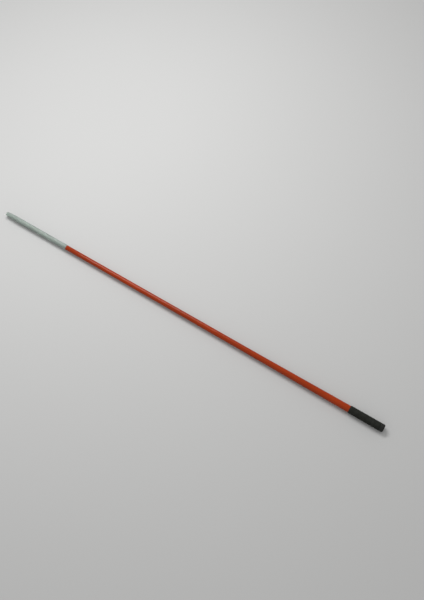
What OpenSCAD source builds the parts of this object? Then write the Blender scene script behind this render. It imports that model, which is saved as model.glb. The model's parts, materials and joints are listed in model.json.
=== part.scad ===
// Long-reach traffic baton light: a battery-lit signalling wand. A pale lamp tube stands at the
// front of a slim tapered shaft, and a rubber grip over the battery tube closes in a screw tail
// cap with a push switch. It lies along X with the lamp towards +X, resting on z = 0.
// Sizes along the baton are stations: distances from the butt face towards the tip.

/* [Overall] */
// Length from the butt face to the tip of the lamp
overall_len = 1450; // [1150:10:1800]
// Length of the lamp tube that shows in front of the shaft
lamp_len = 256; // [200:2:310]
// Length of the black end: tail cap and grip together
grip_len = 118; // [96:1:150]

/* [Batteries] */
// Diameter of one battery cell
cell_d = 14.4; // [13.6:0.1:17.4]
// Length of one battery cell, with its nub
cell_len = 50.5; // [42:0.5:61]
// Number of cells, nose to tail
cell_count = 3; // [3:3]

/* [Walls] */
// Wall of the metal battery tube
tube_wall = 2.0; // [1.7:0.1:3]
// Wall of the shaft at the butt and beyond the battery tube
shaft_wall = 1.65; // [1.3:0.05:2.4]
// Thickness of the grip over its ribs
grip_wall = 1.35; // [1.1:0.05:3]
// Wall of the lamp tube
lamp_wall = 1.6; // [1.2:0.05:1.8]

/* [Shaft] */
// Diameter of the shaft's straight front stretch
front_d = 16.6; // [15.6:0.1:20]
// Length of the straight front stretch that shows
front_len = 144; // [100:2:200]
// Diameter where the flare towards the grip begins
knee_d = 18.7; // [18:0.1:20.6]
// Length of the flare
flare_len = 300; // [220:5:380]
// Length of the straight butt stretch that shows in front of the grip
butt_show = 22; // [5:1:40]

/* [Grip] */
// Distance from rib to rib
rib_pitch = 4; // [3:0.25:8]
// Width of the groove between two ribs
rib_groove = 1.2; // [0.8:0.1:2]
// Depth of the groove
rib_depth = 0.45; // [0.2:0.05:0.8]

/* [Lamp] */
// Length of the narrowing nose of the lamp tube, with its dome
nose_len = 40; // [25:1:60]
// Diameter at the root of the dome
dome_d = 14.4; // [12.5:0.1:15]
// Number of lamps on each face of the spine
led_count = 11; // [6:1:12]
// Width of the spine that carries the lamps
spine_w = 10; // [9.5:0.1:10.6]
// Thickness of the spine
spine_t = 2; // [1.5:0.1:2.4]

/* [Tail cap] */
// Length of the cap's head
cap_head = 12; // [11:0.5:20]
// Radius of the head's rear edge
cap_edge_r = 3; // [1:0.25:4]
// Diameter of the push button
button_d = 11.8; // [9:0.1:12.4]
// Travel of the push button
button_travel = 1.5; // [0.8:0.1:2]
// Pitch of the cap's screw thread
thread_pitch = 2; // [1:0.25:2.5]
// Turns to unscrew the cap
thread_turns = 5; // [3:1:5]
// Diameter of the wrist strap hole
strap_hole_d = 2.8; // [1.5:0.1:3.2]

/* [Hidden] */
$fn = 64;

// Clearances
bond_gap = 0.05;    // glued or pressed cylinders, on the radius
spacer_gap = 0.15;  // foam spacer in the shaft, on the radius
cell_gap = 0.3;     // cell in its tube, on the radius
screw_gap = 0.1;    // cap spigot in the battery tube, on the radius
slide_gap = 0.1;    // button in the cap, on the radius
cap_gap = 0.4;      // closed cap to the butt end of the shaft
seal_gap = 0.03;    // rubber ring to the bore that it seals
groove_gap = 0.02;  // rubber ring to the floor of its groove
groove_side = 0.15; // rubber ring to each side of its groove

// Radii from the axis outwards at the butt
cell_r = cell_d / 2;
tube_bore_r = cell_r + cell_gap;
tube_r = tube_bore_r + tube_wall;
shaft_bore_r = tube_r + bond_gap;
butt_r = shaft_bore_r + shaft_wall;
grip_bore_r = butt_r + bond_gap;
grip_r = grip_bore_r + grip_wall;
front_r = front_d / 2;
knee_r = knee_d / 2;

// Tail cap
butt_start = cap_head + cap_gap;
thread_deep = 1;
thread_bore_r = tube_bore_r + thread_deep;
spigot_r = thread_bore_r - screw_gap;
spigot_wall = 1.5;
pocket_r = spigot_r - spigot_wall;
seal_ring = 1;      // thickness of the cap's rubber ring
seal_in = 1.6;      // rubber ring inside the mouth of the battery tube
seal_at = butt_start + seal_in;
button_r = button_d / 2;
mouth_r = button_r + slide_gap;
mouth_deep = 3.6;
button_sunk = 0.4;  // button below the butt face
button_ring = 0.8;  // thickness of the button's rubber ring
button_seal_at = 2.6;
flange_r = pocket_r - slide_gap;
flange_t = 1.3;
flange_at = mouth_deep + slide_gap;
over_travel = 0.2;
stop_at = flange_at + flange_t + button_travel + over_travel;
stop_t = 1.5;
switch_at = stop_at + stop_t;
switch_t = 8;
board_t = 1.2;
switch_board_at = switch_at + switch_t;
retainer_at = switch_board_at + board_t;
retainer_t = 3;
retainer_bore_r = 4.9;
cap_travel = thread_pitch * thread_turns;
spigot_end = max(cap_head + cap_travel + seal_in + seal_ring, retainer_at + retainer_t + 1);
inset_r = pocket_r - bond_gap;
plunger_r = 1.6;
plunger_bore_r = plunger_r + slide_gap;
plunger_len = 5.8;
plunger_bore_end = switch_at + 5.4;
strap_r = strap_hole_d / 2;
strap_at = 7.2;
strap_out = (pocket_r + grip_r) / 2;
flute_count = 18;
flute_r = 1.1;
flute_deep = 0.35;

// Battery stack
spring_room = 13.6;
cell_at = retainer_at + spring_room;
stack_end = cell_at + cell_count * cell_len;
nub_len = 1.3;
nub_r = 2.75;
holder_gap = 0.5;
holder_at = stack_end + holder_gap;
holder_len = 14.5;
tube_end = holder_at + holder_len + 2;
driver_at = holder_at + 6.5;
holder_r = tube_bore_r - bond_gap;
holder_wall = 0.9;
driver_r = holder_r - holder_wall - bond_gap;
stud_r = 1.2;       // stem of the positive contact
stud_rim = 0.6;     // its head beyond the cell's nub
stud_head = 1.4;

// Shaft
flare_at = grip_len + butt_show;
flare_end = flare_at + flare_len;
lamp_at = overall_len - lamp_len;
front_at = lamp_at - front_len;
front_bore_r = front_r - shaft_wall;
function taper(s, s0, r0, s1, r1) = r0 + (r1 - r0) * (s - s0) / (s1 - s0);
function flare_r(s) = s < flare_at ? butt_r : taper(s, flare_at, butt_r, flare_end, knee_r);
step_bore_r = flare_r(tube_end) - shaft_wall;   // shoulder that stops the battery tube

// Lamp
lamp_bore_r = front_r - lamp_wall;
coupler_back = 28;
coupler_front = 38;
coupler_r = min(front_bore_r, lamp_bore_r) - bond_gap;
cable_bore_r = 2.6;
coupler_end = lamp_at + coupler_front;
slot_deep = 20;
slot_gap = 0.05;
lamp_seal_ring = 1.5;
lamp_seal_at = lamp_at + 13;
lamp_screw_at = lamp_at + 6;
screw_r = 1.2;
screw_head_r = 2.3;
screw_in = 4;
pin_r = 0.7;
pin_out = 3.6;
pin_gap = 0.02;
pin_at = coupler_end - slot_deep / 2;
spine_at = coupler_end - slot_deep + slot_gap;
nose_at = overall_len - nose_len;
centraliser_t = 6;
spine_end = nose_at - 8;
centraliser_at = spine_end - 5;
led_board_w = 8;
led_board_t = 1;
led_board_at = coupler_end + 3;
led_board_end = centraliser_at - 2;
led_size = [2.8, 3.5, 0.9];
led_margin = 8;     // first and last lamp to the ends of the board
led_pitch = (led_board_end - led_board_at - 2 * led_margin) / (led_count - 1);
led_first = led_board_at + led_margin;
resistor_size = [1.25, 2, 0.5];
link_r = 0.5;
link_at = led_board_end - 3.2;

// Cable
sheath_r = 1.7;
core_r = 0.6;
core_split = 0.8;   // core to axis inside the sheath
core_out = 1.75;    // core to axis beside the spine
core_pad = 3;       // core to axis where it is soldered to the driver board
cable_from = tube_end + 6;
cable_to = lamp_at - 12;
spacer_count = 4;
spacer_len = 22;
spacer_inset = 60;  // first spacer beyond the battery tube, last one short of the cable's end

// Lays a piece drawn along +Z, from the butt face at 0, along the baton.
module along_baton() {
    translate([-overall_len / 2, 0, grip_r]) rotate([0, 90, 0]) children();
}

// A turned piece from its outline of [radius, station] points.
module turned(outline) {
    along_baton() rotate_extrude() polygon(outline);
}

// A plain ring or tube between two stations.
module ring(outer_r, inner_r, from, to) {
    turned([[inner_r, from], [outer_r, from], [outer_r, to], [inner_r, to]]);
}

// A rubber ring of the given thickness, centred on a station.
module seal_torus(centre_r, thick, at) {
    along_baton() translate([0, 0, at]) rotate_extrude() translate([centre_r, 0])
        circle(d = thick, $fn = 32);
}

// The groove that such a ring lies in, cut into a piece of the given radius.
module seal_groove(outer_r, floor_r, thick, at) {
    ring(outer_r + 1, floor_r, at - thick / 2 - groove_side, at + thick / 2 + groove_side);
}

// Rings of points swept along a path, closed at both ends. ref is never along the path.
function unit(v) = v / norm(v);
function heading(path, i) = unit(path[min(i + 1, len(path) - 1)] - path[max(i - 1, 0)]);
function hoop(path, i, r, sides, ref) =
    let (t = heading(path, i), n = unit(cross(t, ref)), b = cross(t, n))
    [for (k = [0:sides - 1]) path[i] + r * (cos(360 * k / sides) * n + sin(360 * k / sides) * b)];

module sweep(path, r, sides, ref) {
    last = len(path) - 1;
    points = [for (i = [0:last]) each hoop(path, i, r, sides, ref)];
    walls = [for (i = [0:last - 1], k = [0:sides - 1])
        let (a = i * sides + k, b = i * sides + (k + 1) % sides)
        each [[a, b, b + sides], [a, b + sides, a + sides]]];
    back = [for (k = [0:sides - 1]) sides - 1 - k];
    front = [for (k = [0:sides - 1]) last * sides + k];
    along_baton() polyhedron(points, concat([back, front], walls));
}

// A coil of wire from station z0 to z1, whose radius runs from r0 to r1.
module coil(r0, r1, z0, z1, turns, wire_r, steps = 14) {
    total = turns * steps;
    path = [for (i = [0:total]) let (u = i / total, r = r0 + (r1 - r0) * u, a = 360 * turns * u)
        [r * cos(a), r * sin(a), z0 + wire_r + (z1 - z0 - 2 * wire_r) * coil_rise(u, turns)]];
    sweep(path, wire_r, 8, [0, 0, 1]);
}

// The end turns of a coil lie flat, and the turns between them climb.
function coil_rise(u, turns) = let (flat = 0.7 / turns)
    u < flat ? 0 : u > 1 - flat ? 1 : (u - flat) / (1 - 2 * flat);

module shaft_tube() {
    color("orangered") turned([
        [shaft_bore_r, butt_start], [butt_r, butt_start], [butt_r, flare_at], [knee_r, flare_end],
        [front_r, front_at], [front_r, lamp_at], [front_bore_r, lamp_at], [front_bore_r, front_at],
        [knee_r - shaft_wall, flare_end], [step_bore_r, tube_end], [shaft_bore_r, tube_end]]);
}

module grip_sleeve() {
    lip = 1;
    ribs = floor((grip_len - butt_start - 10) / rib_pitch);
    first = (butt_start + grip_len - (ribs - 1) * rib_pitch) / 2;
    color("#262824") difference() {
        turned([[grip_bore_r, butt_start], [grip_r, butt_start], [grip_r, grip_len - lip],
                [grip_r - lip * 0.8, grip_len], [grip_bore_r, grip_len]]);
        for (i = [0:ribs - 1])
            ring(grip_r + 1, grip_r - rib_depth, first + i * rib_pitch - rib_groove / 2,
                 first + i * rib_pitch + rib_groove / 2);
    }
}

// The dome's outline, from its root out to the tip, grown or shrunk by wall.
function dome(r, wall) = [for (a = [0:10:90])
    [(r - wall) * cos(a), overall_len - r + (r - wall) * sin(a)]];

module lamp_tube() {
    dome_r = dome_d / 2;
    inside = dome(dome_r, lamp_wall);
    outside = dome(dome_r, 0);
    color("#dfe8e2") difference() {
        turned(concat([[lamp_bore_r, lamp_at], [front_r, lamp_at], [front_r, nose_at]], outside,
                      [for (i = [len(inside) - 1:-1:0]) inside[i]], [[lamp_bore_r, nose_at]]));
        lamp_screw_shape(bond_gap);
    }
}

// The countersunk screw's outline; grow makes the hole that takes it.
module lamp_screw_shape(grow) {
    sink = screw_head_r - screw_r;
    skim = 0.25;
    top = front_r - skim;
    mouth = grow > 0 ? top + 1 : top;
    along_baton() translate([0, 0, lamp_screw_at]) rotate([0, 90, 0]) rotate_extrude() polygon([
        [0, top - screw_in - grow], [screw_r + grow, top - screw_in - grow],
        [screw_r + grow, top - sink], [screw_head_r + grow, top], [screw_head_r + grow, mouth],
        [0, mouth]]);
}

module lamp_screw() {
    drive_r = 0.7;
    color("silver") difference() {
        lamp_screw_shape(0);
        along_baton() translate([front_r - 1, 0, lamp_screw_at]) rotate([0, 90, 0])
            cylinder(r = drive_r, h = 2, $fn = 6);
    }
}

module lamp_coupler() {
    groove_r = lamp_bore_r - seal_gap - lamp_seal_ring - groove_gap;
    color("silver") difference() {
        ring(coupler_r, cable_bore_r, lamp_at - coupler_back, coupler_end);
        seal_groove(coupler_r, groove_r, lamp_seal_ring, lamp_seal_at);
        spine_slot();
        lamp_screw_shape(bond_gap);
        for (side = [-1, 1]) spine_pin(side, pin_gap, coupler_r + 1);
    }
}

module spine_slot() {
    thick = spine_t + 2 * slot_gap;
    wide = 2 * coupler_r + 2;
    along_baton() translate([-thick / 2, -wide / 2, coupler_end - slot_deep])
        cube([thick, wide, slot_deep + 1]);
}

module spine_pin(side, grow, reach) {
    along_baton() translate([-reach, side * pin_out, pin_at]) rotate([0, 90, 0])
        cylinder(r = pin_r + grow, h = 2 * reach);
}

module spine_pins() {
    color("gray") for (side = [-1, 1])
        spine_pin(side, 0, sqrt(coupler_r * coupler_r - pow(pin_out + pin_r, 2)) - 0.1);
}

module lamp_seal() {
    color("#202020")
        seal_torus(lamp_bore_r - seal_gap - lamp_seal_ring / 2, lamp_seal_ring, lamp_seal_at);
}

module led_spine() {
    color("lightgray") difference() {
        along_baton() translate([-spine_t / 2, -spine_w / 2, spine_at])
            cube([spine_t, spine_w, spine_end - spine_at]);
        for (side = [-1, 1]) spine_pin(side, pin_gap, coupler_r);
    }
}

// side is -1 for the upper face of the spine and 1 for the lower one.
module on_face(side, lift, size, at, across = 0) {
    middle = side * (spine_t / 2 + lift + size[2] / 2);
    along_baton() translate([middle - size[2] / 2, across - size[0] / 2, at - size[1] / 2])
        cube([size[2], size[0], size[1]]);
}

module led_board(side) {
    length = led_board_end - led_board_at;
    color("white") on_face(side, 0, [led_board_w, length, led_board_t], led_board_at + length / 2);
}

module leds(side) {
    color("#ffffe8") for (i = [0:led_count - 1])
        on_face(side, led_board_t, led_size, led_first + i * led_pitch);
}

module board_resistors() {
    across = led_board_w / 2 - resistor_size[0];
    color("#303030") for (side = [-1, 1], i = [0:led_count - 2])
        on_face(side, led_board_t, resistor_size, led_first + (i + 0.5) * led_pitch, across);
}

// A wire that joins the two boards round the edge of the spine.
module board_link() {
    top = spine_t / 2 + led_board_t + link_r;
    edge = spine_w / 2 + link_r + 0.1;
    inner = led_board_w / 2 - 1.2;
    bend = 0.9;
    color("#c8c8c8") sweep([
        [-top, inner, link_at], [-top, inner + 1, link_at], [-top, edge - bend, link_at],
        [-top + bend * 0.3, edge - bend * 0.3, link_at], [-top + bend, edge, link_at],
        [0, edge, link_at], [top - bend, edge, link_at],
        [top - bend * 0.3, edge - bend * 0.3, link_at], [top, edge - bend, link_at],
        [top, inner + 1, link_at], [top, inner, link_at]], link_r, 8, [0, 0, 1]);
}

module spine_centraliser() {
    slot = [spine_t + 2 * slot_gap, spine_w + 2 * slot_gap];
    window_r = 1.6;
    color("white") difference() {
        ring(lamp_bore_r - slide_gap, 0, centraliser_at, centraliser_at + centraliser_t);
        along_baton() translate([-slot[0] / 2, -slot[1] / 2, centraliser_at - 1])
            cube([slot[0], slot[1], spine_end - centraliser_at + 1 + slot_gap]);
        along_baton() for (side = [-1, 1]) translate([side * 3.6, 0, centraliser_at - 1])
            cylinder(r = window_r, h = centraliser_t + 2);
    }
}

module lamp_cable() {
    color("#1c1c1c") ring(sheath_r, 0, cable_from, cable_to);
}

// Bare ends of one core: side is -1 for the upper one, red, and 1 for the lower one, black.
module core_ends(side) {
    bend = [for (u = [0:0.25:1]) [u, 0.5 - 0.5 * cos(180 * u)]];
    driver_front = driver_at + board_t;
    straight = 2;
    back_run = cable_from - driver_front - 2 * straight;
    out = side * (spine_t / 2 + led_board_t + core_r);
    sweep(concat(
        [[side * core_pad, 0, driver_front]],
        [for (b = bend) [side * (core_pad + (core_split - core_pad) * b[1]), 0,
            driver_front + straight + back_run * b[0]]],
        [[side * core_split, 0, cable_from]]), core_r, 8, [0, 1, 0]);
    sweep(concat(
        [[side * core_split, 0, cable_to]],
        [for (b = bend) [side * (core_split + (core_out - core_split) * b[1]), 0,
            cable_to + 4 + 12 * b[0]]],
        [for (b = bend) [side * core_out + (out - side * core_out) * b[1], 0,
            coupler_end + (led_board_at - coupler_end) * b[0]]],
        [[out, 0, led_board_at + 4]]), core_r, 8, [0, 1, 0]);
}

// Radius of the shaft's bore at a station.
function bore_at(s) =
    s < tube_end ? shaft_bore_r
    : s < flare_end ? taper(s, tube_end, step_bore_r, flare_end, knee_r - shaft_wall)
    : s < front_at ? taper(s, flare_end, knee_r - shaft_wall, front_at, front_bore_r)
    : front_bore_r;

module cable_spacers() {
    first = tube_end + spacer_inset;
    pitch = (cable_to - spacer_inset - first) / (spacer_count - 1);
    color("dimgray") for (i = [0:spacer_count - 1]) {
        from = first + i * pitch - spacer_len / 2;
        to = from + spacer_len;
        ring(min(bore_at(from), bore_at(to)) - spacer_gap, sheath_r + bond_gap, from, to);
    }
}

module battery_tube() {
    color("silver") turned([
        [thread_bore_r, butt_start], [tube_r, butt_start], [tube_r, tube_end - bond_gap],
        [tube_bore_r, tube_end - bond_gap], [tube_bore_r, spigot_end + cap_gap],
        [thread_bore_r, spigot_end + cap_gap]]);
}

module battery_cell(index) {
    at = cell_at + index * cell_len;
    shoulder = at + cell_len - nub_len;
    color(index % 2 == 0 ? "#b07a2a" : "#a87428") turned([
        [0, at], [cell_r - 0.6, at], [cell_r, at + 0.6], [cell_r, shoulder - 0.8],
        [cell_r - 0.8, shoulder], [nub_r, shoulder], [nub_r, at + cell_len], [0, at + cell_len]]);
}

module contact_holder() {
    floor_end = driver_at - 2;
    ledge = 1;
    color("#303030") difference() {
        ring(holder_r, 0, holder_at, holder_at + holder_len);
        ring(driver_r + bond_gap, 0, driver_at, holder_at + holder_len + 1);
        ring(driver_r - ledge, 0, floor_end, driver_at + 1);
        ring(nub_r + stud_rim + bond_gap, 0, holder_at - 1, holder_at + stud_head);
        ring(stud_r + bond_gap, 0, holder_at, floor_end + 1);
    }
}

module positive_contact() {
    bevel = 1;
    color("gold") turned([
        [0, stack_end], [nub_r + stud_rim - bevel, stack_end],
        [nub_r + stud_rim, stack_end + bevel - 0.1], [nub_r + stud_rim, holder_at + stud_head],
        [stud_r, holder_at + stud_head], [stud_r, driver_at], [0, driver_at]]);
}

module driver_board() {
    color("seagreen") ring(driver_r, 0, driver_at, driver_at + board_t);
}

// A coil, the driver chip and two small capacitors, each [width, depth, height] at [x, y].
module driver_parts() {
    blocks = [[[3.6, 3, 1.4], [0, -3.5]], [[0.8, 1.6, 0.6], [2, -0.2]], [[0.8, 1.6, 0.6], [-2, -0.2]]];
    face = driver_at + board_t;
    color("#404040") along_baton() {
        translate([-1, 3.6, face]) cylinder(r = 1.8, h = 3);
        for (b = blocks) translate([b[1][0] - b[0][0] / 2, b[1][1] - b[0][1] / 2, face]) cube(b[0]);
    }
}

module battery_spring() {
    wire_r = 0.45;
    base_r = retainer_bore_r - cell_gap - wire_r;
    tip_r = 3;
    color("silver") coil(base_r, tip_r, retainer_at, cell_at, 5, wire_r);
}

// Outline of the cap's rounded rear edge, from the face out to the side.
function cap_edge(r) = [for (a = [90:-15:0])
    [r - cap_edge_r + cap_edge_r * cos(a), cap_edge_r - cap_edge_r * sin(a)]];

module tail_cap() {
    groove_r = thread_bore_r - seal_gap - seal_ring - groove_gap;
    color("#1e1f1d") difference() {
        turned(concat([[mouth_r, 0]], cap_edge(grip_r), [
            [grip_r, cap_head], [spigot_r, cap_head], [spigot_r, spigot_end],
            [pocket_r, spigot_end], [pocket_r, mouth_deep], [mouth_r, mouth_deep]]));
        seal_groove(spigot_r, groove_r, seal_ring, seal_at);
        for (i = [0:flute_count - 1])
            along_baton() rotate([0, 0, (i + 0.5) * 360 / flute_count])
                translate([grip_r + flute_r - flute_deep, 0, cap_edge_r + 1])
                    cylinder(r = flute_r, h = cap_head);
        strap_hole();
    }
}

// The wrist strap hole crosses the solid rim of the cap, outside the switch pocket.
module strap_hole() {
    along_baton() translate([strap_out, 0, strap_at]) rotate([90, 0, 0])
        cylinder(r = strap_r, h = 3 * grip_r, center = true);
}

module tail_seal() {
    color("#202020") seal_torus(thread_bore_r - seal_gap - seal_ring / 2, seal_ring, seal_at);
}

module switch_body() {
    color("#2a2a2c") difference() {
        ring(inset_r, 0, switch_at, switch_at + switch_t);
        ring(plunger_bore_r, 0, switch_at - 1, plunger_bore_end);
    }
}

module switch_board() {
    color("seagreen") ring(inset_r, 0, switch_board_at, switch_board_at + board_t);
}

module switch_retainer() {
    notch = [1.6, 1];
    color("gold") difference() {
        ring(inset_r, retainer_bore_r, retainer_at, retainer_at + retainer_t);
        along_baton() translate([-notch[0] / 2, -pocket_r - 1, retainer_at + retainer_t - notch[1]])
            cube([notch[0], 2 * pocket_r + 2, notch[1] + 1]);
    }
}

module button_stop_ring() {
    color("#404040") ring(inset_r, 4, stop_at, stop_at + stop_t);
}

module plunger_spring() {
    wire_r = 0.2;
    coil_r = plunger_r - wire_r - slide_gap;
    color("silver") coil(coil_r, coil_r, flange_at + flange_t + plunger_len, plunger_bore_end, 3,
        wire_r);
}

module push_button() {
    edge = 1.2;
    groove_r = mouth_r - seal_gap - button_ring - groove_gap;
    color("#3a3b39") difference() {
        turned([[0, button_sunk], [button_r - edge, button_sunk],
                [button_r - edge * 0.3, button_sunk + edge * 0.3], [button_r, button_sunk + edge],
                [button_r, flange_at], [flange_r, flange_at], [flange_r, flange_at + flange_t],
                [0, flange_at + flange_t]]);
        seal_groove(button_r, groove_r, button_ring, button_seal_at);
    }
}

module button_seal() {
    color("#202020") seal_torus(mouth_r - seal_gap - button_ring / 2, button_ring, button_seal_at);
}

module switch_plunger() {
    color("#b03020") ring(plunger_r, 0, flange_at + flange_t, flange_at + flange_t + plunger_len);
}

shaft_tube();
grip_sleeve();
lamp_tube();
lamp_coupler();
lamp_seal();
lamp_screw();
led_spine();
spine_pins();
led_board(-1);  // upper_led_board
led_board(1);  // lower_led_board
leds(-1);  // upper_leds
leds(1);  // lower_leds
board_resistors();
board_link();
spine_centraliser();
lamp_cable();
color("red") core_ends(-1);  // red_cores
color("#181818") core_ends(1);  // black_cores
cable_spacers();
battery_tube();
battery_cell(0);  // battery_cell_1
battery_cell(1);  // battery_cell_2
battery_cell(2);  // battery_cell_3
contact_holder();
positive_contact();
driver_board();
driver_parts();
battery_spring();
tail_cap();
tail_seal();
switch_body();
switch_board();
switch_retainer();
button_stop_ring();
plunger_spring();
push_button();
switch_plunger();
button_seal();
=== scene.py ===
"""Long-reach traffic baton light: a slim lacquered wand with a frosted lamp tube, a ribbed rubber
grip over its battery tube, and a screw tail cap with a push switch.

The frame is in metres: the baton lies along X, with its lamp towards +X. The modelling steps take
millimetres instead: the station from the butt face towards the tip, then the place across (Y) and
above (Z) the baton's axis."""

import json
import math

import bmesh
import bpy
from bpy.props import FloatProperty, FloatVectorProperty, IntProperty, PointerProperty
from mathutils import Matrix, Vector


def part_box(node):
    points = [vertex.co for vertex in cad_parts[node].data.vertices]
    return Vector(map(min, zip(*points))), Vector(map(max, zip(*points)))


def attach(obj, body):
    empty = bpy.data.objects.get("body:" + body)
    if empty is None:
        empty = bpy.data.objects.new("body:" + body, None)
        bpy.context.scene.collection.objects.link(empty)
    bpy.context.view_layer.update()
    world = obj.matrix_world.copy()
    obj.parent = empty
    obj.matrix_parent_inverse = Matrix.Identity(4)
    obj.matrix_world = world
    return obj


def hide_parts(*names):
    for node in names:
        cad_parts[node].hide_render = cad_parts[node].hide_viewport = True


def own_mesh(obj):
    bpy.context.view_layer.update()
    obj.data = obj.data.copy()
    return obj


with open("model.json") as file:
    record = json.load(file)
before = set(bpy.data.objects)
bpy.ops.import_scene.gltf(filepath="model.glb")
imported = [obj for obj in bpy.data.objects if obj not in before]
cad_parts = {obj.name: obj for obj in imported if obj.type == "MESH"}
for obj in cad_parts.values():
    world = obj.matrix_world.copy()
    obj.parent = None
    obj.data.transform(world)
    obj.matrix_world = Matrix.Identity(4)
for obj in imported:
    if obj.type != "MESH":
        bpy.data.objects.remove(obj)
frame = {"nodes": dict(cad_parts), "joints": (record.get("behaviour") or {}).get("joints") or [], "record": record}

bl_info = {
    "name": "Traffic Baton Light",
    "version": (1, 0, 0),
    "blender": (4, 5, 0),
    "location": "View3D > Sidebar > Baton",
    "description": "Builds a long battery-lit signalling baton with all of its inner parts",
    "category": "Add Mesh",
}

MM = 0.001
MERGE, NEAR = 0.002 * MM, 0.01
THREAD_AT, THREAD_ROOT, THREAD_SLOPE, THREAD_FLAT = 15.7, 7.75, 0.62, 0.3
SCREW_AT, SCREW_TOP, SCREW_DEEP = 1200, 8.05, 4.0
SCREW_SHANK, SCREW_HEAD, SCREW_CONE, SCREW_RIM = 1.2, 2.3, 1.1, 0.15
PIN_AT, PIN_OUT, PIN_R, PIN_ROOM = 1222, 3.6, 0.7, 0.02
JOINT_UP, LINK_AT = 3.0, 1391.8
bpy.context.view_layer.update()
BODY_OF = {n: body for body, nodes in frame["record"]["behaviour"]["bodies"].items() for n in nodes}
BUTT_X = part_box("tail_cap")[0].x
AXIS_Z = round(sum(corner.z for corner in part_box("grip_sleeve")) / 2, 4)


def span(node):
    """First station, last station and radius of a round CAD node, in millimetres."""
    points = [vertex.co for vertex in frame["nodes"][node].data.vertices]
    radius = max(math.hypot(point.y, point.z - AXIS_Z) for point in points)
    ends = [(corner.x - BUTT_X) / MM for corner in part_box(node)]
    return round(ends[0], 2), round(ends[1], 2), round(radius / MM, 3)


def place(station, across=0.0, up=0.0):
    return Vector((BUTT_X + station * MM, across * MM, AXIS_Z + up * MM))


def local(point):
    return (point.x - BUTT_X) / MM, point.y / MM, (point.z - AXIS_Z) / MM


# ---------------------------------------------------------------- modelling steps

def let_go():
    """Back to object mode with nothing selected."""
    if bpy.context.object and bpy.context.object.mode != "OBJECT":
        bpy.ops.object.mode_set(mode="OBJECT")
    bpy.ops.object.select_all(action="DESELECT")


def pick(*pieces):
    let_go()
    for piece in pieces:
        piece.select_set(True)
    bpy.context.view_layer.objects.active = pieces[0]
    return pieces[0]


def started(name):
    """Names the primitive that was just added and moves its place into its mesh."""
    piece = bpy.context.object
    piece.name = piece.data.name = name
    bpy.ops.object.transform_apply(location=True, rotation=True, scale=True)
    return piece


def choose(kind, test):
    """Selects the vertices, edges or faces whose middle passes the test, in edit mode."""
    bpy.ops.mesh.select_mode(type=kind)
    bpy.ops.mesh.select_all(action="DESELECT")
    data = bpy.context.object.data
    shape = bmesh.from_edit_mesh(data)
    parts, middle = {
        "VERT": (shape.verts, lambda vertex: vertex.co),
        "EDGE": (shape.edges, lambda edge: (edge.verts[0].co + edge.verts[1].co) / 2),
        "FACE": (shape.faces, lambda face: face.calc_center_median())}[kind]
    found = [part for part in parts if test(*local(middle(part)))]
    for part in found:
        part.select_set(True)
    shape.select_flush_mode()
    bmesh.update_edit_mesh(data)
    if not found:
        raise RuntimeError(f"nothing to select on {bpy.context.object.name}")


def edit(*pieces):
    """Into edit mode with all of a piece selected."""
    if pieces:
        pick(*pieces)
    bpy.ops.object.mode_set(mode="EDIT")
    bpy.ops.mesh.select_all(action="SELECT")


def outwards():
    """Merges what meets, turns every face outwards and leaves edit mode."""
    bpy.ops.mesh.select_all(action="SELECT")
    bpy.ops.mesh.remove_doubles(threshold=MERGE)
    bpy.ops.mesh.normals_make_consistent(inside=False)
    let_go()


def chosen(piece, kind, test):
    """Into edit mode on a piece with only the parts selected that pass the test."""
    edit(piece)
    choose(kind, test)


def drawn(name, points, closed=False):
    """A line drawn point by point: one vertex, extruded from place to place."""
    let_go()
    bpy.ops.mesh.primitive_plane_add(size=MM, location=points[0])
    piece = started(name)
    bpy.ops.object.mode_set(mode="EDIT")
    bpy.ops.mesh.select_mode(type="VERT")
    bpy.ops.mesh.select_all(action="SELECT")
    bpy.ops.mesh.merge(type="CENTER")
    for before, after in zip(points, points[1:]):
        bpy.ops.mesh.extrude_vertices_move(TRANSFORM_OT_translate={"value": after - before})
    if closed:
        ends = (local(points[0]), local(points[-1]))
        choose("VERT", lambda *p: any(math.dist(p, end) < 1e-3 for end in ends))
        bpy.ops.mesh.edge_face_add()
    return piece


def turned(name, outline, steps=96):
    """A piece turned on the baton's axis. The outline's corners are (station, radius) with an
    optional rounding. An outline that starts and ends on the axis is left open there."""
    on_axis = outline[0][1] == 0 and outline[-1][1] == 0
    piece = drawn(name, [place(c[0], 0, c[1]) for c in outline], closed=not on_axis)
    for rounding in sorted({c[2] for c in outline if len(c) > 2}):
        corners = [(c[0], 0, c[1]) for c in outline if len(c) > 2 and c[2] == rounding]
        choose("VERT", lambda *p: any(math.dist(p, corner) < 2e-3 for corner in corners))
        bpy.ops.mesh.bevel(offset=rounding * MM, segments=3 if rounding < 1 else 8,
                           affect="VERTICES")
    bpy.ops.mesh.select_all(action="SELECT")
    bpy.ops.mesh.spin(steps=steps, angle=math.tau, center=place(0), axis=(1, 0, 0))
    outwards()
    return piece


def grooves(middle, radius, low, width, slant=0, crests=(), floors=(), count=1, pitch=0):
    """A turned outline's corners over a row of grooves, with the roundings of their edges."""
    corners = []
    for k in range(count):
        rear, front = (middle + k * pitch + side * width / 2 for side in (-1, 1))
        corners += [(rear, radius, *crests), (rear + slant, low, *floors),
                    (front - slant, low, *floors), (front, radius, *crests)]
    return corners


def rod(name, start, end, radius, sides=32, toward=(1, 0, 0), middle=None):
    """A round bar between two distances along a direction, from a middle point."""
    let_go()
    direction = Vector(toward)
    origin = place(0) if middle is None else middle
    bpy.ops.mesh.primitive_cylinder_add(
        vertices=sides, radius=radius * MM, depth=(end - start) * MM,
        location=origin + direction * (start + end) / 2 * MM,
        rotation=direction.to_track_quat("Z", "Y").to_euler())
    return started(name)


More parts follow.
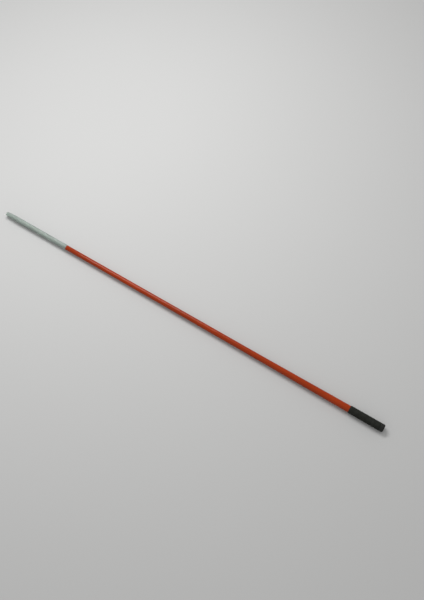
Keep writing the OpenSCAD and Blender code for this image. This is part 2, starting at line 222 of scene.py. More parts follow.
def block(name, centre, size, edge=0.0, segments=2):
    """A box with eased edges, from the station, across and up of its centre and its size."""
    let_go()
    bpy.ops.mesh.primitive_cube_add(size=1, location=place(*centre), scale=Vector(size) * MM)
    piece = started(name)
    if edge:
        edit()
        bpy.ops.mesh.bevel(offset=edge * MM, segments=segments, affect="EDGES")
        let_go()
    return piece


def joined(*pieces):
    pick(*pieces)
    bpy.ops.object.join()
    return pieces[0]


def copied(piece, shift=(0, 0, 0), turn=0.0):
    """A copy with its own mesh, shifted in millimetres or turned about the baton's axis."""
    pick(piece)
    bpy.ops.object.duplicate(linked=False)
    copy = bpy.context.object
    if turn:
        edit()
        bpy.ops.transform.rotate(value=-turn, orient_axis="X", orient_type="GLOBAL",
                                 center_override=place(0))
        let_go()
        pick(copy)
    copy.location = Vector(shift) * MM
    bpy.ops.object.transform_apply(location=True, rotation=True, scale=True)
    return copy


def repeated(piece, shift, count):
    """A piece and its copies in a row, each shifted by one more step in millimetres."""
    return [piece] + [copied(piece, [k * step for step in shift]) for k in range(1, count)]


def cut(piece, *cutters, operation="DIFFERENCE"):
    """Takes the cutters' shapes out of a piece, or adds them to it."""
    for cutter in cutters:
        pick(piece)
        step = piece.modifiers.new("cut", "BOOLEAN")
        step.operation, step.solver, step.object = operation, "EXACT", cutter
        bpy.ops.object.modifier_apply(modifier=step.name)
        bpy.data.objects.remove(cutter)
    return piece


def screwed(name, start, turns, pitch, root, crest, slack):
    """A right-handed thread's ridge on the baton's axis, from its root out to its crest, narrower
    than the groove by the slack on each side."""
    section = [(start + side * (THREAD_FLAT + (r - THREAD_ROOT) * THREAD_SLOPE - slack), r)
               for side, r in ((-1, root), (-1, crest), (1, crest), (1, root))]
    ridge = drawn(name, [place(station, 0, r) for station, r in section], closed=True)
    pick(ridge)
    bpy.context.scene.cursor.location = place(0)
    bpy.ops.object.origin_set(type="ORIGIN_CURSOR")
    bpy.context.scene.cursor.location = (0, 0, 0)
    step = ridge.modifiers.new("screw", "SCREW")
    step.axis, step.angle, step.screw_offset = "X", math.tau * turns, pitch * turns * MM
    step.steps = step.render_steps = int(turns * 48)
    bpy.ops.object.modifier_apply(modifier=step.name)
    bpy.ops.object.transform_apply(location=True)
    edit()
    bpy.ops.mesh.fill_holes(sides=0)
    outwards()
    return ridge


def drawn_wire(name, points, radius):
    """A round wire along a drawn line."""
    wire = drawn(name, points)
    let_go()
    pick(wire)
    bpy.ops.object.convert(target="CURVE")
    line = bpy.context.object.data
    line.bevel_depth, line.bevel_resolution, line.use_fill_caps = radius * MM, 3, True
    bpy.ops.object.convert(target="MESH")
    edit()
    outwards()
    return bpy.context.object


def wound(name, first_r, last_r, start, end, turns, wire_r, steps=28):
    """A coil of wire whose end turns lie flat."""
    flat = 0.7 / turns
    line = []
    for i in range(turns * steps + 1):
        share = i / (turns * steps)
        rise = min(1.0, max(0.0, (share - flat) / (1 - 2 * flat)))
        out, angle = first_r + (last_r - first_r) * share, math.tau * turns * share
        station = start + wire_r + (end - start - 2 * wire_r) * rise
        line.append(place(station, out * math.sin(angle), -out * math.cos(angle)))
    return drawn_wire(name, line, wire_r)


def solder(foot, radius, height, toward=(1, 0, 0)):
    """A low dome of solder that stands on a face."""
    let_go()
    way = Vector(toward)
    bpy.ops.mesh.primitive_uv_sphere_add(
        segments=20, ring_count=12, radius=radius * MM, location=place(*foot),
        rotation=way.to_track_quat("Z", "Y").to_euler(), scale=(1, 1, height / radius))
    dome = started("solder_joint")
    edit()
    bpy.ops.mesh.bisect(plane_co=place(*foot), plane_no=way, clear_inner=True, use_fill=True)
    let_go()
    return dome


def countersunk(name, grow=0.0):
    """The lamp screw, which stands downwards from the axis, or, grown, the hole that takes it."""
    shank, head = SCREW_SHANK + grow, SCREW_HEAD + grow
    top = SCREW_TOP - SCREW_RIM - SCREW_CONE
    screw = rod(name, SCREW_TOP - SCREW_DEEP - grow, top, shank, 36, (0, 0, -1), place(SCREW_AT))
    edit()
    for rise, widen in ((SCREW_CONE, head / shank), (SCREW_RIM + 20 * grow, 1.0)):
        choose("FACE", lambda x, y, z: z < NEAR - top)
        bpy.ops.mesh.extrude_region_move(TRANSFORM_OT_translate={"value": (0, 0, -rise * MM)})
        bpy.ops.transform.resize(value=(widen, widen, 1), center_override=place(SCREW_AT))
        top += rise
    let_go()
    return screw


def cross_pins(name, reach, radius):
    """The two pins that cross the coupler's slot, or cutters for their holes."""
    return [rod(name, -reach, reach, radius, 24, (0, 0, 1), place(PIN_AT, side * PIN_OUT))
            for side in (-1, 1)]


def ease(piece, setback, segments=2):
    """Eases a piece's sharp edges."""
    pick(piece)
    step = piece.modifiers.new("ease", "BEVEL")
    step.width, step.segments = setback * MM, segments
    step.limit_method, step.angle_limit = "ANGLE", math.radians(50)
    bpy.ops.object.modifier_apply(modifier=step.name)


def bevelled(piece, setback, segments, test):
    """Bevels the edges that pass the test."""
    chosen(piece, "EDGE", test)
    bpy.ops.mesh.bevel(offset=setback * MM, segments=segments, affect="EDGES")
    let_go()


def scored(piece, along, *points):
    """Cuts a piece's faces across at each point, so that its ends can take another finish."""
    edit(piece)
    for point in points:
        bpy.ops.mesh.select_all(action="SELECT")
        bpy.ops.mesh.bisect(plane_co=point, plane_no=along)
    let_go()


def coat(piece, finish, test):
    """Gives the faces that pass the test another finish."""
    piece.data.materials.append(shared(finish))
    chosen(piece, "FACE", test)
    piece.active_material_index = len(piece.data.materials) - 1
    bpy.ops.object.material_slot_assign()
    let_go()


def finished(piece, node, slot, finish, *others, angle=30):
    """Shades a piece, gives it its finish, gives the faces that pass a test another one, and ties
    it to the body of the CAD node that it replaces. A finish may be a shared one's name."""
    pick(piece)
    bpy.ops.object.transform_apply(location=True, rotation=True, scale=True)
    bpy.ops.object.shade_smooth_by_angle(angle=math.radians(angle))
    piece.data.materials.clear()
    piece.data.materials.append(shared(finish) if isinstance(finish, str) else finish)
    for other, test in others:
        coat(piece, other, test)
    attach(piece, BODY_OF[node])
    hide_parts(node)
    return piece


# ---------------------------------------------------------------- finishes

class Wired:
    """A socket in a finish. Arithmetic on it adds Math nodes."""

    def __init__(self, finish, socket):
        self.finish, self.socket = finish, socket

    def maths(self, operation, first, second):
        return self.finish.node("ShaderNodeMath", {"operation": operation}, {0: first, 1: second})

    def __add__(self, other):
        return self.maths("ADD", self, other)

    def __sub__(self, other):
        return self.maths("SUBTRACT", self, other)

    def __rsub__(self, other):
        return self.maths("SUBTRACT", other, self)

    def __mul__(self, other):
        return self.maths("MULTIPLY", self, other)

    def __abs__(self):
        return self.maths("ABSOLUTE", self, 0)

    __radd__, __rmul__ = __add__, __mul__


class Finish:
    """A material built node by node on one Principled shader, patterned in object coordinates."""

    def __init__(self, name, colour, roughness, **constants):
        self.material = bpy.data.materials.new(name)
        self.material.use_nodes = True
        self.tree = self.material.node_tree
        self.shader = self.tree.nodes["Principled BSDF"]
        self.colour = (*colour[:3], 1)
        self.material.diffuse_color = self.colour
        self.set("Base Color", self.colour)
        self.set("Roughness", roughness)
        for socket, value in constants.items():
            self.set(socket.replace("_", " "), value)
        self.point = self.node("ShaderNodeTexCoord", output="Object")

    def node(self, kind, settings=None, inputs=None, output=0):
        """Adds a node: its settings first, then its sockets' values or links."""
        made = self.tree.nodes.new(kind)
        for key, value in (settings or {}).items():
            setattr(made, key, value)
        for key, value in (inputs or {}).items():
            if isinstance(value, Wired):
                self.tree.links.new(value.socket, made.inputs[key])
            else:
                made.inputs[key].default_value = value
        return Wired(self, made.outputs[output])

    def set(self, socket, value):
        """Sets one of the shader's own sockets to a value or a link."""
        if isinstance(value, Wired):
            self.tree.links.new(value.socket, self.shader.inputs[socket])
        else:
            self.shader.inputs[socket].default_value = value

    def from_axis(self, stretch=(1, 1, 1)):
        """The point in millimetres from the butt face's centre, stretched along each axis."""
        moved = self.node("ShaderNodeVectorMath", {"operation": "SUBTRACT"},
                          {0: self.point, 1: place(0)})
        return self.node("ShaderNodeVectorMath", {"operation": "MULTIPLY"},
                         {0: moved, 1: [1 / MM * s for s in stretch]})

    def part(self, axis, vector):
        return self.node("ShaderNodeSeparateXYZ", inputs={0: vector}, output=axis)

    def radius(self):
        """Distance from the baton's axis, in millimetres."""
        return self.node("ShaderNodeVectorMath", {"operation": "LENGTH"},
                         {0: self.from_axis((0, 1, 1))}, output="Value")

    def noise(self, size, stretch=(1, 1, 1), detail=2.0, roughness=0.5):
        """Cloudy noise from 0 to 1 with features of a size in millimetres."""
        return self.node("ShaderNodeTexNoise", None,
                         {"Vector": self.from_axis(stretch), "Scale": 1 / size, "Detail": detail,
                          "Roughness": roughness})

    def ramp(self, value, low, high, start=0.0, end=1.0):
        """Smooth change from start to end while the value runs from low to high."""
        return self.node("ShaderNodeMapRange", {"interpolation_type": "SMOOTHSTEP"},
                         {"Value": value, "From Min": low, "From Max": high, "To Min": start,
                          "To Max": end})

    def mix(self, share, first, second):
        """Mix of two colours by a share."""
        return self.node("ShaderNodeMix", {"data_type": "RGBA"}, {0: share, 6: first, 7: second}, 2)

    def patches(self, low, high, size, stretch=(1, 1, 1), detail=3, roughness=0.5):
        """Soft-edged patches: 0 where the noise is under the low value, 1 over the high one."""
        return self.ramp(self.noise(size, stretch, detail, roughness), low, high)

    def made(self, colour, roughness, height, depth, strength=0.5):
        """Wires the colour, the roughness and a surface relief with a depth in millimetres."""
        self.set("Base Color", colour)
        self.set("Roughness", roughness)
        self.set("Normal", self.node("ShaderNodeBump", None, {
            "Height": height, "Distance": depth * MM, "Strength": strength}))
        return self.material


def shade_of(colour, factor):
    return (*(min(1.0, channel * factor) for channel in colour[:3]), 1)


def lacquer(colours):
    """Glossy orange lacquer over glass fibre: faint long fibres, orange peel, handling scuffs."""
    orange = colours.shaft
    finish = Finish("shaft_lacquer", orange, 0.24, Specular_IOR_Level=0.18)
    clouds = finish.noise(38, (0.35, 1, 1), 3)
    fibres = finish.noise(0.8, (0.02, 1, 1), 3, 0.6)
    scuffs = finish.noise(2.2, (0.9, 0.5, 0.5), 5, 0.7)
    peel = finish.noise(1.5, (0.7, 1, 1), 2)
    along = finish.part("X", finish.from_axis())
    worn = finish.ramp(scuffs, 0.60, 0.74) * finish.ramp(along, 120, 420, 1.0, 0.25)
    base = finish.mix(finish.ramp(clouds, 0.3, 0.7), shade_of(orange, 0.9), shade_of(orange, 1.09))
    base = finish.mix(finish.ramp(fibres, 0.45, 0.75, 0.0, 0.22), base, shade_of(orange, 1.35))
    base = finish.mix(worn * 0.3, base, (0.42, 0.16, 0.08, 1))
    roughness = 0.2 + worn * 0.25 + finish.ramp(clouds, 0.3, 0.8, 0.0, 0.08)
    return finish.made(base, roughness, peel + fibres * 0.5 + scuffs * 0.4, 0.02, 0.6)


def frosted(colours):
    """Frosted lamp tube: milky, blasted surface with faint flow lines and specks of dust."""
    finish = Finish("frosted_lamp", colours.lamp, 0.42, Transmission_Weight=0.7, IOR=1.49,
                    Specular_IOR_Level=0.5)
    grain = finish.noise(0.22)
    flow = finish.noise(1.6, (0.03, 1, 1))
    dust = finish.patches(0.66, 0.74, 0.9, detail=4, roughness=0.7)
    base = finish.mix(finish.patches(0.3, 0.7, 16, (0.4, 1, 1)), shade_of(colours.lamp, 0.93),
                      shade_of(colours.lamp, 1.06))
    base = finish.mix(dust * 0.25, base, shade_of(colours.lamp, 0.6))
    return finish.made(base, 0.34 + grain * 0.14 + dust * 0.15, grain + flow * 0.5, 0.012, 0.6)


def rubber(colours):
    """Moulded grip rubber: fine blast texture, rubbed crests, pale dust low in the grooves."""
    size = bpy.context.scene.baton_grip
    radius = span("grip_sleeve")[2]
    low = radius - size.groove_depth / MM
    finish = Finish("ribbed_rubber", colours.grip, 0.68, Specular_IOR_Level=0.22)
    out = finish.radius()
    crest = finish.ramp(out, radius - 0.12, radius - 0.02)
    floor = finish.ramp(out, low + 0.02, low + 0.2, 1.0, 0.0)
    patches = finish.patches(0.42, 0.62, 11)
    grain = finish.noise(0.3)
    base = finish.mix(crest * patches * 0.6, finish.colour, shade_of(colours.grip, 1.5))
    base = finish.mix(floor * finish.ramp(grain, 0.4, 0.7) * 0.35, base, (0.06, 0.056, 0.048, 1))
    roughness = 0.74 - crest * patches * 0.16 + grain * 0.08
    return finish.made(base, roughness, grain + patches * 0.3, 0.05)


def moulded(name, colour, roughness=0.5, grain_size=0.35, relief=0.02, worn=1.35, **constants):
    """Moulded plastic or paint: fine spark texture and gentle colour drift."""
    finish = Finish(name, colour, roughness, **constants)
    grain = finish.noise(grain_size)
    rubbed = finish.patches(0.55, 0.75, 3.2, detail=4, roughness=0.7)
    base = finish.mix(finish.patches(0.3, 0.7, 9), shade_of(colour, 0.9), shade_of(colour, 1.08))
    base = finish.mix(rubbed * 0.4, base, shade_of(colour, worn))
    return finish.made(base, roughness - 0.06 + grain * 0.12 - rubbed * 0.08, grain, relief)


METALS = {  # colour, roughness, and how much turning marks or rolled grain show
    "lathe_aluminium": ((0.76, 0.77, 0.78), 0.30, 1.0),
    "rolled_aluminium": ((0.72, 0.73, 0.74), 0.38, 0.6),
    "bright_steel": ((0.60, 0.60, 0.59), 0.26, 0.7),
    "spring_wire": ((0.46, 0.46, 0.45), 0.30, 0.3),
    "lathe_brass": ((0.70, 0.48, 0.19), 0.28, 1.0),
    "copper_wire": ((0.74, 0.32, 0.15), 0.30, 0.4),
    "gold_pad": ((0.88, 0.63, 0.25), 0.26, 0.2),
    "solder": ((0.64, 0.64, 0.63), 0.24, 0.2),
    "tinned": ((0.68, 0.68, 0.67), 0.32, 0.3),
}
PLASTICS = {  # colour, roughness, grain in millimetres, relief in millimetres
    "black_nylon": ((0.014, 0.014, 0.015), 0.48, 0.3, 0.02),
    "white_nylon": ((0.72, 0.71, 0.67), 0.42, 0.3, 0.015),
    "red_acetal": ((0.45, 0.035, 0.02), 0.36, 0.3, 0.01),
    "ring_rubber": ((0.012, 0.012, 0.012), 0.55, 0.15, 0.01),
    "dished_rubber": ((0.015, 0.016, 0.014), 0.62, 0.2, 0.02),
    "chip_epoxy": ((0.016, 0.016, 0.017), 0.52, 0.08, 0.006),
    "ferrite": ((0.045, 0.043, 0.042), 0.6, 0.1, 0.01),
    "ceramic": ((0.42, 0.30, 0.19), 0.45, 0.1, 0.004),
    "resistor_glass": ((0.02, 0.02, 0.022), 0.3, 0.2, 0.003),
    "lamp_body": ((0.80, 0.80, 0.77), 0.4, 0.15, 0.004),
    "phosphor": ((0.80, 0.62, 0.10), 0.5, 0.06, 0.006),
    "cell_washer": ((0.70, 0.70, 0.66), 0.6, 0.2, 0.01),
    "sheath_vinyl": ((0.017, 0.017, 0.018), 0.45, 0.5, 0.02),
    "red_core": ((0.50, 0.025, 0.015), 0.4, 0.3, 0.01),
    "black_core": ((0.014, 0.014, 0.014), 0.4, 0.3, 0.01),
}


def metal(name):
    """Machined metal: lathe marks or rolled grain, a little tarnish and a few handling smudges."""
    colour, roughness, marks = METALS[name]
    finish = Finish(name, colour, roughness, Metallic=1.0)
    lathe = finish.noise(0.16, (1, 0.02, 0.02), 3, 0.6)
    smudge = finish.patches(0.45, 0.75, 4.5, detail=4, roughness=0.65)
    tarnish = finish.patches(0.5, 0.8, 1.1)
    base = finish.mix(lathe * (0.35 * marks), finish.colour, shade_of(colour, 0.82))
    base = finish.mix(tarnish * 0.3, base, shade_of(colour, 0.7))
    return finish.made(base, roughness + lathe * (0.1 * marks) + smudge * 0.12 - 0.05,
                       lathe * marks + tarnish * 0.2, 0.006)


def plastic(name):
    colour, roughness, grain, relief = PLASTICS[name]
    return moulded(name, colour, roughness, grain, relief)


def solder_mask(name):
    """Circuit board: glossy mask over raised traces."""
    green = name.startswith("green")
    colour = (0.018, 0.16, 0.055) if green else (0.76, 0.77, 0.75)
    finish = Finish(name, colour, 0.3)
    across, up = (finish.part(axis, finish.from_axis()) for axis in ("Y", "Z"))

    def line(distance, half_width):
        return finish.ramp(distance, half_width, half_width + 0.06, 1.0, 0.0)

    if green:
        out = finish.radius()
        traces = line(abs(out - 3.9), 0.2) + (
            line(abs(abs(up) - 1.6), 0.16) * finish.ramp(out, 3.8, 3.9, 1.0, 0.0))
    else:
        traces = line(abs(abs(across) - 2.9), 0.5) + line(abs(across), 0.4)
    weave = finish.noise(0.35)
    base = finish.mix(traces * 0.5, finish.colour, shade_of(colour, 1.4 if green else 0.9))
    base = finish.mix(weave * 0.25, base, shade_of(colour, 0.8))
    roughness = 0.22 + weave * 0.12 + finish.noise(6, detail=3) * 0.08
    return finish.made(base, roughness, traces + weave * 0.25, 0.03)


def foam(name):
    """Open-cell foam: a grey body with a relief of small pores, each pore darkened with painted shade."""
    colour = (0.085, 0.085, 0.09)
    finish = Finish(name, colour, 0.92, Specular_IOR_Level=0.2)
    cells = finish.node("ShaderNodeTexVoronoi", {"feature": "F1"}, {
        "Vector": finish.from_axis(), "Scale": 1.7}, "Distance")
    pores_and_painted_shade = finish.ramp(cells, 0.1, 0.5)
    # painted shade: the colour is darkened to a quarter in each pore, as shade in its pit, and lightened between
    # the pores
    base = finish.mix(pores_and_painted_shade, shade_of(colour, 0.25), shade_of(colour, 1.5))
    return finish.made(base, 0.92, pores_and_painted_shade, 0.25, 0.8)


def cell_sleeve(name):
    """Printed film sleeve of a battery cell, wiped and slightly scratched."""
    colour = (0.012, 0.045, 0.13) if name == "cell_sleeve" else (0.55, 0.57, 0.58)
    finish = Finish(name, colour, 0.26, Metallic=0.0 if name == "cell_sleeve" else 0.6)
    scratch = finish.patches(0.6, 0.72, 0.7, (0.06, 1, 1), 4, 0.7)
    drift = finish.noise(7, detail=3)
    base = finish.mix(drift, shade_of(colour, 0.85), shade_of(colour, 1.15))
    base = finish.mix(scratch * 0.35, base, (0.5, 0.5, 0.5, 1))
    return finish.made(base, 0.22 + scratch * 0.2 + drift * 0.08, scratch + drift, 0.008)


BUILT = {}
SPECIAL = {"green_mask": solder_mask, "white_mask": solder_mask, "grey_foam": foam,
           "cell_sleeve": cell_sleeve, "cell_band": cell_sleeve}


def shared(name):
    """The finish of that name, built when the first piece asks for it."""
    if name not in BUILT:
        build = SPECIAL.get(name) or (metal if name in METALS else plastic)
        BUILT[name] = build(name)
    return BUILT[name]


# ---------------------------------------------------------------- sizes and colours

def length(name, description, millimetres):
    return FloatProperty(name=name, description=description, default=millimetres * MM, min=0.0,
                         unit="LENGTH", precision=5)


def colour(name, description, red, green, blue):
    return FloatVectorProperty(name=name, description=description, default=(red, green, blue),
                               size=3, min=0.0, max=1.0, subtype="COLOR")


class BatonGrip(bpy.types.PropertyGroup):
    rib_pitch: length("Rib pitch", "Distance from rib to rib", 4)
    groove_width: length("Groove width", "Width of the groove between two ribs", 1.2)
    groove_depth: length("Groove depth", "Depth of the groove between two ribs", 0.45)
    lip: length("Front lip", "Length of the eased front edge of the grip", 1)
    wall: length("Wall", "Thickness of the grip over its ribs", 1.35)


class BatonCap(bpy.types.PropertyGroup):
    head: length("Head", "Length of the cap's head", 12)
    edge: length("Edge", "Radius of the head's rear edge", 4.2)
    flutes: IntProperty(name="Flutes", description="Number of finger flutes", default=18, min=6)
    flute_depth: length("Flute depth", "Depth of a finger flute", 0.35)
    strap_hole: length("Strap hole", "Diameter of the wrist strap hole", 2.8)
    thread_pitch: length("Thread pitch", "Pitch of the screw thread", 2)


class BatonColours(bpy.types.PropertyGroup):
    shaft: colour("Shaft", "Lacquer of the shaft", 0.29, 0.028, 0.0005)
    lamp: colour("Lamp tube", "Frosted lamp tube", 0.548, 0.625, 0.577)
    grip: colour("Grip", "Rubber of the grip", 0.0105, 0.0118, 0.0088)
    cap: colour("Cap", "Plastic of the tail cap", 0.0080, 0.0089, 0.0072)
    floor: colour("Floor", "Floor under the baton", 0.52, 0.52, 0.515)


class BatonStage(bpy.types.PropertyGroup):
    azimuth: FloatProperty(name="Azimuth", description="Camera angle round the baton",
                           default=math.radians(212.45), subtype="ANGLE")
    elevation: FloatProperty(name="Elevation", description="Camera angle above the floor",
                             default=math.radians(61.95), subtype="ANGLE")
    distance: FloatProperty(name="Distance", description="Camera to the floor point in its middle",
                            default=2.912, unit="LENGTH")
    lens: FloatProperty(name="Lens", description="Focal length", default=53.46, unit="CAMERA")


# ---------------------------------------------------------------- outside

class BATON_OT_shaft(bpy.types.Operator):
    """Turns the tapered shaft"""
    bl_idname = "baton.shaft"
    bl_label = "Shaft"

    def execute(self, context):
        butt, lamp, radius = span("shaft_tube")
        tube_end, bore = (size + 0.05 for size in span("battery_tube")[1:])
        wall = radius - bore
        straight, flare, front = 140, 440, 1050
        knee, tip = 9.35, span("lamp_tube")[2]
        shoulder = radius + (knee - radius) * (tube_end - straight) / (flare - straight) - wall
        outer = [(butt, bore, 0.2), (butt, radius, 0.3), (straight, radius, 18), (flare, knee, 40),
                 (front, tip, 40), (lamp, tip, 0.12)]
        inner = [(lamp, tip - wall, 0.2), (front, tip - wall), (flare, knee - wall),
                 (tube_end, shoulder), (tube_end, bore)]
        shaft = turned("lacquered_shaft", outer + inner, 128)
        finished(shaft, "shaft_tube", "shaft", lacquer(context.scene.baton_colours))
        return {"FINISHED"}


class BATON_OT_grip(bpy.types.Operator):
    """Turns the ribbed rubber grip"""
    bl_idname = "baton.grip"
    bl_label = "Grip"

    def execute(self, context):
        size = context.scene.baton_grip
        start, end, radius = span("grip_sleeve")
        pitch, width, depth, lip, wall = (value / MM for value in (
            size.rib_pitch, size.groove_width, size.groove_depth, size.lip, size.wall))
        plain, slant = 10, 0.12
        ribs = int((end - start - plain) / pitch)
        first = (start + end - (ribs - 1) * pitch) / 2
        bore, low = radius - wall, radius - depth
        outline = [(start, bore, 0.15), (start, radius, 0.3)]
        outline += grooves(first, radius, low, width, slant, (0.28,), (0.2,), ribs, pitch)
        outline += [(end - lip, radius, 0.5), (end, radius - lip * 0.8, 0.25), (end, bore, 0.15)]
        grip = turned("ribbed_grip", outline, 96)
        finished(grip, "grip_sleeve", "grip_rubber", rubber(context.scene.baton_colours))
        return {"FINISHED"}


class BATON_OT_cap(bpy.types.Operator):
    """Turns the screw tail cap, with its flutes and strap hole"""
    bl_idname = "baton.cap"
    bl_label = "Tail cap"

    def execute(self, context):
        size = context.scene.baton_cap
        front, radius = span("tail_cap")[1:]
        head, edge = size.head / MM, size.edge / MM
        spigot, pocket, mouth, mouth_deep = 8.4, 6.9, 6.0, 3.6
        seal_at, seal_wide, groove_floor = 14.0, 1.3, 7.45
        arc = [math.radians(angle) for angle in range(80, 0, -10)]
        outline = [(0, mouth, 0.35), (0, radius - edge)]
        outline += [(edge - edge * math.sin(a), radius - edge + edge * math.cos(a)) for a in arc]
        outline += [(edge, radius), (head, radius, 0.35), (head, spigot, 0.12)]
        outline += grooves(seal_at, spigot, groove_floor, seal_wide, 0, (0.1,), (0.15,))
        outline += [(front, spigot, 0.5), (front, pocket, 0.2), (mouth_deep, pocket, 0.15),
                    (mouth_deep, mouth, 0.12)]
        cap = turned("screw_cap", outline, 144)
        flute_r, strap_at, strap_low, reach = 1.1, 7.2, 9.75, 20
        out = radius + flute_r - size.flute_depth / MM
        flute = rod("flute", edge + 1, head + 2, flute_r, 24, middle=place(0, 0, -out))
        chosen(flute, "FACE", lambda x, y, z: x < edge + 1.1)
        bpy.ops.mesh.inset(thickness=flute_r / 2 * MM)
        bpy.ops.transform.translate(value=(-0.9 * MM, 0, 0))
        let_go()
        pitch = math.tau / size.flutes
        flutes = [copied(flute, turn=(i + 0.5) * pitch) for i in range(size.flutes)]
        bpy.data.objects.remove(flute)
        strap = rod("strap", -reach, reach, size.strap_hole / 2 / MM, 40, (0, 1, 0),
                    place(strap_at, 0, -strap_low))
        groove = screwed("groove", THREAD_AT, turns=5, pitch=size.thread_pitch / MM,
                         root=THREAD_ROOT, crest=spigot + 0.4, slack=0)
        cut(cap, joined(*flutes), strap, groove)
        finished(cap, "tail_cap", "cap_plastic",
                 moulded("cap_moulding", context.scene.baton_colours.cap, 0.5, 0.3, 0.03, 1.6,
                         Specular_IOR_Level=0.3))
        return {"FINISHED"}


class BATON_OT_lamp_tube(bpy.types.Operator):
    """Turns the frosted lamp tube with its narrowing nose and dome"""
    bl_idname = "baton.lamp_tube"
    bl_label = "Lamp tube"

    def execute(self, context):
        start, tip, radius = span("lamp_tube")
        nose, dome, wall = tip - 40, 7.2, 1.6
        root, steps = tip - dome, 12

        def quarter(r):
            arc = [math.pi / 2 * i / steps for i in range(steps)]
            return [(root + r * math.sin(a), r * math.cos(a)) for a in arc] + [(root + r, 0)]

        outline = quarter(dome - wall)[::-1] + [
            (nose, radius - wall), (start, radius - wall, 0.15), (start, radius, 0.15),
            (nose, radius, 6)] + quarter(dome)
        tube = cut(turned("frosted_lamp_tube", outline), countersunk("screw_hole", 0.05))
        finished(tube, "lamp_tube", "lamp_tube", frosted(context.scene.baton_colours))
        return {"FINISHED"}


# ---------------------------------------------------------------- battery end

class BATON_OT_battery_tube(bpy.types.Operator):
    """Turns the threaded battery tube"""
    bl_idname = "baton.battery_tube"
    bl_label = "Battery tube"

    def execute(self, context):
        start, end, radius = span("battery_tube")
        bore, thread_bore, relief = 7.5, 8.5, 0.25
        thread_end = span("tail_cap")[1] + 0.4
        tube = turned("battery_tube_turned", [
            (start, thread_bore, 0.3), (start, radius, 0.25), (end, radius, 0.3),
            (end, bore, 0.25), (thread_end, bore, 0.2), (thread_end, thread_bore + relief),
            (thread_end - 1, thread_bore + relief), (thread_end - 1 - relief, thread_bore)])
        pitch = context.scene.baton_cap.thread_pitch / MM
        ridge = screwed("ridge", THREAD_AT + pitch, turns=2.5, pitch=pitch, root=7.92,
                        crest=thread_bore + 0.2, slack=0.12)
        cut(tube, ridge, operation="UNION")
        finished(tube, "battery_tube", "turned_aluminium", "lathe_aluminium")
        return {"FINISHED"}


class BATON_OT_cells(bpy.types.Operator):
    """Turns one battery cell and copies it along the tube"""
    bl_idname = "baton.cells"
    bl_label = "Battery cells"

    def execute(self, context):
        start, end, radius = span("battery_cell_1")
        shoulder, band_at, nub, pitch = end - 1.3, start + 35, 2.75, end - start
        cell = turned("cell_1", [
            (start, 0), (start, 5.7, 0.1), (start + 0.3, 5.8, 0.1), (start + 0.3, 6.1, 0.1),
            (start, 6.3, 0.2), (start + 0.1, 6.8, 0.2), (start + 0.6, radius, 0.3),
            (band_at, radius), (shoulder - 0.8, radius, 0.35), (shoulder, radius - 0.8, 0.25),
            (shoulder, 6.2, 0.1), (shoulder - 0.3, 6.1, 0.1), (shoulder - 0.3, 3.9, 0.1),
            (shoulder - 0.05, 3.4, 0.1), (shoulder, nub + 0.15, 0.1), (shoulder + 0.2, nub, 0.1),
            (end, nub, 0.35), (end, 1.0), (end - 0.1, 0.8), (end - 0.1, 0)], 64)
        for number, piece in enumerate(repeated(cell, (pitch, 0, 0), 3)):
            piece.name = piece.data.name = f"cell_{number + 1}"
            ahead = number * pitch

            def band(x, y, z):
                return band_at < x - ahead < shoulder and math.hypot(y, z) > 6.25

            def steel(x, y, z):
                out = math.hypot(y, z)
                return (x - ahead < start + 0.35 and out < 5.9) or (
                    x - ahead > shoulder - 0.2 and out < 3.6)

            def washer(x, y, z):
                return x - ahead > shoulder - 0.35 and 3.6 < math.hypot(y, z) < 6.15

            finished(piece, f"battery_cell_{number + 1}", "cell_wrap", "cell_sleeve",
                     ("cell_band", band), ("bright_steel", steel), ("cell_washer", washer))
        return {"FINISHED"}


class BATON_OT_contacts(bpy.types.Operator):
    """Turns the contact holder and its stud"""
    bl_idname = "baton.contacts"
    bl_label = "Contact holder"

    def execute(self, context):
        start, end, radius = span("contact_holder")
        face, foot, stud = span("driver_board")[0], 187.5, span("positive_contact")
        pocket, ledge, cup, hole, neck = 3.4, 5.5, 6.55, 1.25, 1.2
        seat = start + 1.4
        holder = turned("contact_cup", [
            (start, pocket, 0.2), (start, radius, 0.4), (end, radius, 0.3), (end, cup, 0.3),
            (face, cup), (face, ledge, 0.1), (foot, ledge, 0.3), (foot, hole, 0.1),
            (seat, hole, 0.1), (seat, pocket)])
        slots = [block("slot", (end - 0.6, 0, side * 7), (2.4, 1.6, 2.4), 0.2) for side in (-1, 1)]
        cut(holder, *slots)
        finished(holder, "contact_holder", "black_plastic", "black_nylon")
        contact = turned("contact_stud", [
            (stud[0], 0), (stud[0], 2.3, 0.25), (start + 0.4, stud[2], 0.3), (seat, stud[2], 0.15),
            (seat, neck), (stud[1] - 0.5, neck), (stud[1], 0.9, 0.15), (stud[1], 0)], 64)
        finished(contact, "positive_contact", "contact_brass", "lathe_brass")
        return {"FINISHED"}


